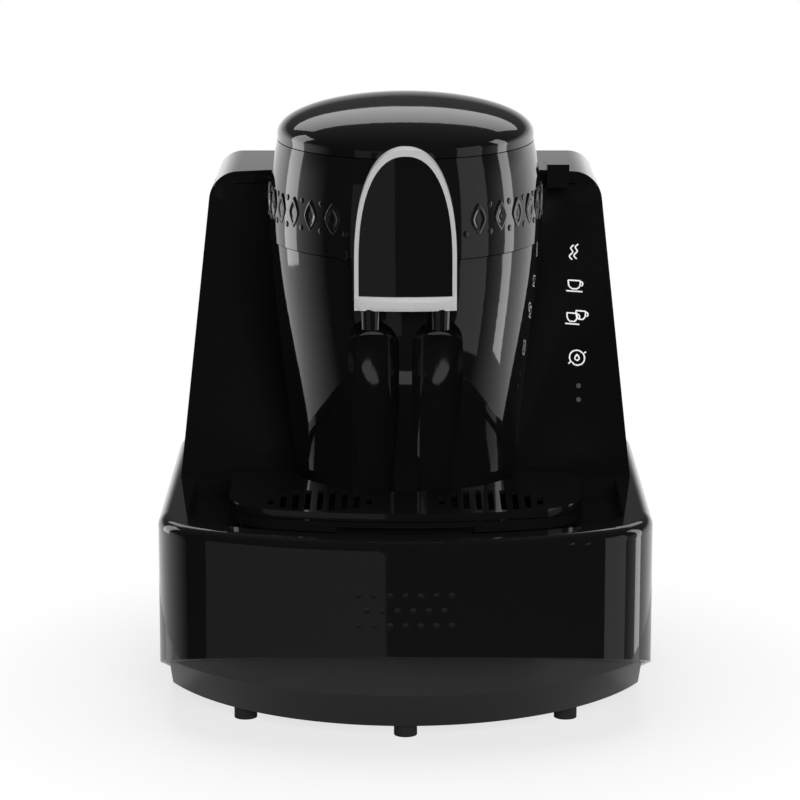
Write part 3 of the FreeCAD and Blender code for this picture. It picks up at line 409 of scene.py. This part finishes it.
def smoothed(points, steps=6):
    """Points along a smooth line through a few points."""
    made = []
    ends = [points[0]] + points + [points[-1]]
    for n in range(1, len(ends) - 2):
        for step in range(steps):
            u = step / steps
            spot = []
            for k in (0, 1):
                a, b, c, d = (ends[n + m][k] for m in (-1, 0, 1, 2))
                spot.append(0.5 * (2 * b + (c - a) * u + (2 * a - 5 * b + 4 * c - d) * u * u
                                   + (3 * b - a - 3 * c + d) * u ** 3))
            made.append(tuple(spot))
    made.append(points[-1])
    return made


def cup_sign(x, z, width):
    """The printed sign of a cup on a saucer, seen from the side."""
    half = width / 2
    side = smoothed([(x - half, z + 2.6), (x - half * 0.86, z - 0.4), (x - half * 0.4, z - 1.9)])
    bowl = side + [(2 * x - a, b) for a, b in reversed(side)]
    handle = arc(x + half, z + 1.0, 1.2, -70, 90, 10)
    return [bowl, [(x - half, z + 2.6), (x + half, z + 2.6)], handle,
            [(x - half - 1.0, z - 3.2), (x + half + 1.0, z - 3.2)]]


def key_signs():
    """The lines of the four touch keys, in millimetres across and up from the keys' own column."""
    wisp = smoothed([(-0.2, -4.0), (-1.7, -2.2), (0.1, 0.2), (-1.0, 2.2), (0.6, 4.0)])
    wisps = [wisp, [(x + 2.4, z + 0.6) for x, z in wisp]]
    one_cup = cup_sign(0, 0, 6.6)
    two_cups = cup_sign(-1.6, -0.4, 5.6) + cup_sign(3.0, 1.1, 5.2)[:3]
    ring = [arc(0, 0, 4.0, 50, 215, 18), arc(0, 0, 4.0, 235, 395, 18)]
    arrows = [[(-4.6, -3.6), (-3.2, -2.3), (-1.8, -3.2)], [(4.8, 3.6), (3.2, 2.4), (1.9, 3.4)]]
    drop = smoothed([(0, 1.9), (-1.2, -0.3), (0, -1.4), (1.2, -0.3), (0, 1.9)])
    signs = (wisps, one_cup, two_cups, ring + arrows + [drop])
    return [(out, height, strokes) for (out, height), strokes in zip(KEY_PLACES, signs)]


def ribbon(build, surface, stroke, width, lift):
    """Adds a thin closed strip along a stroke that lies on a surface."""
    rows = []
    for n, (x, z) in enumerate(stroke):
        before, after = stroke[max(n - 1, 0)], stroke[min(n + 1, len(stroke) - 1)]
        run = Vector((after[0] - before[0], 0, after[1] - before[1])).normalized()
        side = Vector((-run.z, 0, run.x)) * width / 2
        row = []
        for sign in (-1, 1):
            spot, normal = seen_from_front(surface, x + sign * side.x, z + sign * side.z)
            row.append(build.verts.new(spot + normal * lift))
            row.append(build.verts.new(spot - normal * lift))
        rows.append(row)
    for a, b in zip(rows, rows[1:]):
        for first, second in ((0, 2), (2, 3), (3, 1), (1, 0)):
            build.faces.new((a[first], a[second], b[second], b[first]))
    for end in (rows[0], rows[-1]):
        build.faces.new((end[0], end[1], end[3], end[2]))


def mesh_from(build, name):
    """A mesh of a build, its faces all pointing outwards."""
    bmesh.ops.recalc_face_normals(build, faces=build.faces)
    mesh = bpy.data.meshes.new(name)
    build.to_mesh(mesh)
    build.free()
    return mesh


def ring_round_y(build, radius, height, sides):
    """Adds a ring of points round the Y axis and returns it."""
    turns = [2 * math.pi * n / sides for n in range(sides)]
    return [build.verts.new((radius * math.cos(turn), height, radius * math.sin(turn))) for turn in turns]


def close_rings(build, rings, smooth=True):
    """Joins rings of points into a closed skin."""
    sides = len(rings[0])
    skin = []
    for low, high in zip(rings, rings[1:]):
        for n in range(sides):
            m = (n + 1) % sides
            skin.append(build.faces.new((low[n], low[m], high[m], high[n])))
    skin.append(build.faces.new(rings[-1]))
    skin.append(build.faces.new(list(reversed(rings[0]))))
    for face in skin:
        face.smooth = smooth


def turned_mesh(name, rings, radius, rise, sides):
    """A small closed shape turned round the Y axis, its back to -Y."""
    build = bmesh.new()
    close_rings(build, [ring_round_y(build, radius * reach, rise * height, sides) for reach, height in rings])
    return mesh_from(build, name)


def disc(build, spot, normal, radius, depth, sides=20, crown=0.3):
    """Adds a low crowned disc that lies on a surface."""
    across = normal.cross(Vector((0, 0, 1))).normalized()
    up = across.cross(normal).normalized()
    rings = []
    for reach, height in ((1.0, -depth), (1.0, depth * (1 - crown)), (0.75, depth)):
        ring = []
        for n in range(sides):
            turn = 2 * math.pi * n / sides
            ring.append(build.verts.new(spot + normal * height
                                        + (across * math.cos(turn) + up * math.sin(turn)) * radius * reach))
        rings.append(ring)
    close_rings(build, rings, smooth=False)


def group_input(tree, name, kind, value):
    """A named input of a geometry tree and its identifier."""
    socket = tree.interface.new_socket(name=name, in_out="INPUT", socket_type=kind)
    socket.default_value = value
    return socket.identifier


def scatter_tree(name, finish):
    """A tree that puts a shape at each point of a mesh, turned by the mesh's own normals."""
    tree = bpy.data.node_groups.new(name, "GeometryNodeTree")
    tree.interface.new_socket(name="Places", in_out="INPUT", socket_type="NodeSocketGeometry")
    shape_socket = tree.interface.new_socket(name="Shape", in_out="INPUT", socket_type="NodeSocketObject")
    scale_key = group_input(tree, "Size", "NodeSocketFloat", OWN_SIZE)
    tree.interface.new_socket(name="Geometry", in_out="OUTPUT", socket_type="NodeSocketGeometry")
    nodes, links = tree.nodes, tree.links
    given, result = nodes.new("NodeGroupInput"), nodes.new("NodeGroupOutput")
    shape = nodes.new("GeometryNodeObjectInfo")
    facing = nodes.new("GeometryNodeInputNamedAttribute")
    facing.data_type = "FLOAT_VECTOR"
    facing.inputs["Name"].default_value = "facing"
    turn = nodes.new("FunctionNodeAlignRotationToVector")
    turn.axis = "Y"
    turn.pivot_axis = "Z"
    place = nodes.new("GeometryNodeInstanceOnPoints")
    real = nodes.new("GeometryNodeRealizeInstances")
    coat = nodes.new("GeometryNodeSetMaterial")
    coat.inputs["Material"].default_value = FINISHES[finish]
    links.new(given.outputs["Places"], place.inputs["Points"])
    links.new(given.outputs["Shape"], shape.inputs["Object"])
    links.new(shape.outputs["Geometry"], place.inputs["Instance"])
    links.new(facing.outputs["Attribute"], turn.inputs["Vector"])
    links.new(turn.outputs["Rotation"], place.inputs["Rotation"])
    links.new(given.outputs["Size"], place.inputs["Scale"])
    links.new(place.outputs["Instances"], real.inputs["Geometry"])
    links.new(real.outputs["Geometry"], coat.inputs["Geometry"])
    links.new(coat.outputs["Geometry"], result.inputs["Geometry"])
    return tree, shape_socket.identifier, scale_key


def scatter(name, spots, shape, body, finish):
    """Puts a shape at spots on a surface by a geometry tree and keeps the plain mesh."""
    tree, shape_key, scale_key = scatter_tree(f"{name} places", finish)
    places = bpy.data.meshes.new(f"{name}_places")
    places.from_pydata([tuple(spot) for spot, _ in spots], [], [])
    facing = places.attributes.new("facing", "FLOAT_VECTOR", "POINT")
    for item, (_, normal) in zip(facing.data, spots):
        item.vector = normal
    source = bpy.data.objects.new(f"{name}_shape", shape)
    carrier = bpy.data.objects.new(f"{name}_carrier", places)
    for thing in (source, carrier):
        bpy.context.scene.collection.objects.link(thing)
    modifier = carrier.modifiers.new("places", "NODES")
    modifier.node_group = tree
    modifier[shape_key] = source
    modifier[scale_key] = OWN_SIZE
    graph = bpy.context.evaluated_depsgraph_get()
    mesh = bpy.data.meshes.new_from_object(carrier.evaluated_get(graph))
    carrier.modifiers.remove(modifier)
    for thing in (carrier, source):
        bpy.data.objects.remove(thing)
    if not mesh.polygons:
        raise RuntimeError(f"{name} came out empty")
    return finished(name, mesh, body, finish)


class COFFEE_OT_finishes(bpy.types.Operator):
    """Give every part of the machine its finish."""
    bl_idname = "coffee.finishes"
    bl_label = "Finishes"

    def execute(self, context):
        FINISHES.update(make_materials(context.scene.coffee_finish))
        slots = {part["node"]: part["material_slot"] for part in frame["record"]["subparts"]}
        for node, thing in frame["nodes"].items():
            finish = FINISHES["wing_black" if node in WING_PANELS else slots[node]]
            if not thing.material_slots:
                raise RuntimeError(f"{node} has no material slot")
            for holder in thing.material_slots:
                holder.material = finish
        return {"FINISHED"}


class COFFEE_OT_keys(bpy.types.Operator):
    """Print the touch keys and the two lamps on the right wing."""
    bl_idname = "coffee.keys"
    bl_label = "Touch keys"

    def execute(self, context):
        settings = context.scene.coffee_keys
        surface = surface_of("wing_panel_right")
        build = bmesh.new()
        for out, height, strokes in key_signs():
            for stroke in strokes:
                line = [((settings.key_out / MM + out + x) * MM, (height + z) * MM) for x, z in stroke]
                ribbon(build, surface, line, settings.line_width, PRINT_LIFT)
        finished("key_signs", mesh_from(build, "key_signs"), "base", "key_print")
        build = bmesh.new()
        for height in KEY_LAMP_HEIGHTS:
            spot, normal = seen_from_front(surface, settings.key_out + KEY_LAMP_OUT, height)
            disc(build, spot, normal, KEY_LAMP_RADIUS, KEY_LAMP_DEPTH)
        finished("key_lamps", mesh_from(build, "key_lamps"), "base", "lamp_grey")
        return {"FINISHED"}


class COFFEE_OT_band(bpy.types.Operator):
    """Raise a band of lozenges and beads round the head."""
    bl_idname = "coffee.band"
    bl_label = "Relief band"

    def execute(self, context):
        settings = context.scene.coffee_band
        surface = surface_of("head_ring")
        count = settings.motif_count
        lozenges, beads = [], []
        for number in range(2 * count):
            turn = 2 * math.pi * number / (2 * count)
            way = Vector((math.cos(turn), math.sin(turn), 0))
            lift = settings.lozenge_height * BEAD_OFFSET
            rows = (0,) if number % 2 == 0 else (-lift, lift)
            for row in rows:
                start = way * BAND_START + Vector((0, 0, settings.band_height + row))
                spot, normal, _, _ = surface.ray_cast(start, -way)
                if normal.dot(way) < 0:
                    normal = -normal
                hidden = abs(spot.x) < FRAME_CLEAR and spot.y < 0
                if not hidden and spot.y < HOUSING_FRONT:
                    (beads if row else lozenges).append((spot, normal))
        bead = turned_mesh("bead", BEAD_RINGS, BEAD_RADIUS, settings.relief, BEAD_SIDES)
        scatter("relief_lozenges", lozenges, lozenge_mesh(settings), "base", "gloss_black")
        scatter("relief_beads", beads, bead, "base", "gloss_black")
        return {"FINISHED"}


def drawn_in(share):
    """A share of a circle's radius, drawn in towards the middle so that the circle gets points."""
    return math.copysign(abs(share) ** LOZENGE_POINTEDNESS, share)


def lozenge_mesh(settings):
    """A lozenge with curved sides and a raised rim round a hollow, its back to -Y."""
    build = bmesh.new()
    half_width, half_height = settings.lozenge_width / 2, settings.lozenge_height / 2
    rings = []
    for reach, height in LOZENGE_RINGS:
        ring = []
        for n in range(LOZENGE_SIDES):
            turn = 2 * math.pi * n / LOZENGE_SIDES
            x = drawn_in(math.cos(turn)) * half_width
            z = drawn_in(math.sin(turn)) * half_height
            ring.append(build.verts.new((x * reach, height * settings.relief, z * reach)))
        rings.append(ring)
    close_rings(build, rings)
    return mesh_from(build, "lozenge")


class COFFEE_OT_holes(bpy.types.Operator):
    """Set the three staggered rows of small holes in the front of the base."""
    bl_idname = "coffee.holes"
    bl_label = "Sound holes"

    def execute(self, context):
        settings = context.scene.coffee_trim
        surface = surface_of("base_shell")
        spots = []
        for row, count in HOLE_ROWS:
            for n in range(count):
                x = (n - (count - 1) / 2) * settings.hole_pitch
                spots.append(seen_from_front(surface, x, settings.holes_height + row * settings.hole_pitch))
        hole = turned_mesh("hole", HOLE_RINGS, settings.hole_size / 2, HOLE_LIP, HOLE_SIDES)
        scatter("sound_holes", spots, hole, "base", "hole_dark")
        return {"FINISHED"}


def bar_face(settings):
    """The bright lower bar of the spout frame, its face crowned and its lower corners rounded."""
    low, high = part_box("spout_frame")
    half, front, bulge = high.x, low.y, settings.frame_bulge
    corner, top = settings.bar_corner, low.z + settings.bar_height
    build = bmesh.new()
    grid = []
    for n in range(BAR_COLUMNS + 1):
        x = -half + 2 * half * n / BAR_COLUMNS
        near = max(abs(x) - (half - corner), 0.0)
        foot = low.z + corner - math.sqrt(max(corner ** 2 - near ** 2, 0.0))
        face = front + bulge - math.sqrt(bulge ** 2 - x ** 2)
        line = []
        for m in range(BAR_ROWS + 1):
            share = m / BAR_ROWS
            up = 1 - (2 * share - 1) ** BAR_FLATNESS_UP
            along = 1 - (x / half) ** BAR_FLATNESS_ALONG
            crown = settings.bar_proud * up * along
            line.append(build.verts.new((x, face - crown, foot + (top - foot) * share)))
        grid.append(line)
    for n in range(BAR_COLUMNS):
        for m in range(BAR_ROWS):
            build.faces.new((grid[n][m], grid[n + 1][m], grid[n + 1][m + 1], grid[n][m + 1]))
    solid = bmesh.ops.extrude_face_region(build, geom=list(build.faces))
    back = [part for part in solid["geom"] if isinstance(part, bmesh.types.BMVert)]
    bmesh.ops.translate(build, verts=back, vec=(0, settings.bar_proud, 0))
    return mesh_from(build, "frame_bar_face")


def coil(low, high, settings):
    """A closed coil of round wire that fills the box between two corners."""
    wire = settings.wire_size / 2
    radius = (high.x - low.x) / 2 - wire
    middle_x, middle_y = (low.x + high.x) / 2, (low.y + high.y) / 2
    steps = STEPS_PER_TURN * settings.spring_turns
    build = bmesh.new()
    rings = []
    for n in range(steps + 1):
        turn = 2 * math.pi * settings.spring_turns * n / steps
        height = low.z + wire + (high.z - low.z - 2 * wire) * n / steps
        ring = []
        for m in range(WIRE_SIDES):
            lean = 2 * math.pi * m / WIRE_SIDES
            reach = radius + wire * math.cos(lean)
            ring.append(build.verts.new((middle_x + reach * math.cos(turn), middle_y + reach * math.sin(turn),
                                         height + wire * math.sin(lean))))
        rings.append(ring)
    close_rings(build, rings)
    return mesh_from(build, "valve_coil")


class COFFEE_OT_spring(bpy.types.Operator):
    """Wind the drain valve's spring as one fixed coil; the spring closes up as the valve lifts, but this coil
    keeps its shape.
    """
    bl_idname = "coffee.spring"
    bl_label = "Valve spring"

    def execute(self, context):
        low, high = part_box("drain_spring")
        spring = finished("valve_coil", coil(low, high, context.scene.coffee_trim), "base", "steel")
        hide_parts("drain_spring")
        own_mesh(spring)
        return {"FINISHED"}


class COFFEE_OT_trim(bpy.types.Operator):
    """Add the frame's bar, the plug on the joint under the head and the screws under the base."""
    bl_idname = "coffee.trim"
    bl_label = "Frame bar, plug and screws"

    def execute(self, context):
        settings = context.scene.coffee_trim
        finished("frame_bar_face", bar_face(settings), "base", "satin_chrome")
        spot, normal = seen_from_front(surface_of("head_ring"), *PLUG_PLACE)
        build = bmesh.new()
        disc(build, spot, normal, PLUG_RADIUS, PLUG_DEPTH, PLUG_SIDES)
        finished("joint_plug", mesh_from(build, "joint_plug"), "base", "gloss_black")
        screw = turned_mesh("screw", SCREW_RINGS, settings.screw_size / 2, MM, SCREW_SIDES)
        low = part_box("base_pan")[0].z
        spots = [(Vector((x, y, low)), Vector((0, 0, -1))) for x, y in SCREW_PLACES]
        scatter("base_screws", spots, screw, "base", "steel")
        return {"FINISHED"}


def soft_lamp(name, place, size, power, in_gloss):
    """A large soft lamp that faces the machine's middle."""
    data = bpy.data.lights.new(name, "AREA")
    data.shape = "RECTANGLE"
    data.size, data.size_y = size
    data.energy = power
    lamp = bpy.data.objects.new(name, data)
    lamp.location = place
    lamp.rotation_euler = (Vector(MIDDLE) - Vector(place)).to_track_quat("-Z", "Y").to_euler()
    lamp.visible_camera = False
    lamp.visible_glossy = in_gloss
    bpy.context.scene.collection.objects.link(lamp)


def white_room():
    """A world that is white to the camera and low behind the machine, and dark above and in front."""
    world = bpy.data.worlds.new("white room")
    world.use_nodes = True
    bpy.context.scene.world = world
    nodes, links = world.node_tree.nodes, world.node_tree.links
    background = nodes["Background"]
    place = nodes.new("ShaderNodeTexCoord")
    split = nodes.new("ShaderNodeSeparateXYZ")
    spread = map_range(nodes, from_min=-0.15, from_max=0.75, to_min=0.012, to_max=1.0)
    rise = map_range(nodes, from_min=0.0, from_max=0.22, to_min=1.0, to_max=0.08)
    both = math_node(nodes, "MULTIPLY")
    path = nodes.new("ShaderNodeLightPath")
    seen = math_node(nodes, "MAXIMUM")
    links.new(place.outputs["Generated"], split.inputs["Vector"])
    links.new(split.outputs["Y"], spread.inputs["Value"])
    links.new(split.outputs["Z"], rise.inputs["Value"])
    links.new(spread.outputs["Result"], both.inputs[0])
    links.new(rise.outputs["Result"], both.inputs[1])
    links.new(both.outputs["Value"], seen.inputs[0])
    links.new(path.outputs["Is Camera Ray"], seen.inputs[1])
    links.new(seen.outputs["Value"], background.inputs["Strength"])
    background.inputs["Color"].default_value = (1, 1, 1, 1)


def floor_material():
    """A white floor that keeps a soft shadow and a faint reflection."""
    parts = new_material("pale floor")
    made, nodes, links, shader = parts
    shader.inputs["Base Color"].default_value = (0.9, 0.9, 0.9, 1)
    add_grain(parts, scale=20, detail=2, roughness=0.22, spread=0.02, bump=0.0)
    white = nodes.new("ShaderNodeEmission")
    white.inputs["Strength"].default_value = 1.0
    path = nodes.new("ShaderNodeLightPath")
    place = nodes.new("ShaderNodeTexCoord")
    away = nodes.new("ShaderNodeVectorMath")
    away.operation = "LENGTH"
    fade = map_range(nodes, from_min=0.14, from_max=FLOOR_REACH - 0.01, to_min=0.74, to_max=1.0)
    share = math_node(nodes, "MULTIPLY")
    links.new(place.outputs["Object"], away.inputs[0])
    links.new(away.outputs["Value"], fade.inputs["Value"])
    links.new(fade.outputs["Result"], share.inputs[1])
    mix = nodes.new("ShaderNodeMixShader")
    links.new(path.outputs["Is Camera Ray"], share.inputs[0])
    links.new(share.outputs["Value"], mix.inputs["Fac"])
    links.new(shader.outputs["BSDF"], mix.inputs[1])
    links.new(white.outputs["Emission"], mix.inputs[2])
    links.new(mix.outputs["Shader"], nodes["Material Output"].inputs["Surface"])
    return made


class COFFEE_OT_stage(bpy.types.Operator):
    """Set the floor, the lamps and the camera."""
    bl_idname = "coffee.stage"
    bl_label = "Stage"

    def execute(self, context):
        build = bmesh.new()
        turns = [2 * math.pi * n / FLOOR_SIDES for n in range(FLOOR_SIDES)]
        edge = [(FLOOR_REACH * math.cos(turn), FLOOR_REACH * math.sin(turn), 0) for turn in turns]
        build.faces.new([build.verts.new(place) for place in edge])
        mesh = bpy.data.meshes.new("floor")
        build.to_mesh(mesh)
        build.free()
        floor = bpy.data.objects.new("floor", mesh)
        context.scene.collection.objects.link(floor)
        mesh.materials.append(floor_material())
        white_room()
        for lamp in LAMPS:
            soft_lamp(*lamp)
        data = bpy.data.cameras.new("camera")
        data.lens = CAMERA_LENS
        data.sensor_width = CAMERA_SENSOR
        data.shift_x, data.shift_y = CAMERA_SHIFT
        camera = bpy.data.objects.new("camera", data)
        camera.location = CAMERA_PLACE
        sight = Vector(CAMERA_TARGET) - Vector(CAMERA_PLACE)
        camera.rotation_euler = sight.to_track_quat("-Z", "Y").to_euler()
        context.scene.collection.objects.link(camera)
        context.scene.camera = camera
        context.scene.view_settings.view_transform = "Standard"
        return {"FINISHED"}


STEPS = ("finishes", "keys", "band", "holes", "spring", "trim", "stage")


class COFFEE_PT_panel(bpy.types.Panel):
    """Lists the steps that dress the machine."""
    bl_idname = "COFFEE_PT_panel"
    bl_label = "Coffee maker"
    bl_space_type = "VIEW_3D"
    bl_region_type = "UI"
    bl_category = "Coffee maker"

    def draw(self, context):
        for step in STEPS:
            self.layout.operator(f"coffee.{step}")


SETTINGS = {"coffee_finish": FinishSettings, "coffee_keys": KeySettings, "coffee_band": BandSettings,
            "coffee_trim": TrimSettings}
CLASSES = tuple(SETTINGS.values()) + (COFFEE_OT_finishes, COFFEE_OT_keys, COFFEE_OT_band, COFFEE_OT_holes,
                                      COFFEE_OT_spring, COFFEE_OT_trim, COFFEE_OT_stage, COFFEE_PT_panel)


def register():
    """Registers the classes and the scene's settings."""
    for item in CLASSES:
        bpy.utils.register_class(item)
    for name, group in SETTINGS.items():
        setattr(bpy.types.Scene, name, bpy.props.PointerProperty(type=group))


def unregister():
    """Takes the settings and the classes away again."""
    for name in SETTINGS:
        delattr(bpy.types.Scene, name)
    for item in reversed(CLASSES):
        bpy.utils.unregister_class(item)


def main():
    """Dresses the machine step by step."""
    register()
    for step in STEPS:
        getattr(bpy.ops.coffee, step)()


if __name__ == "__main__":
    main()
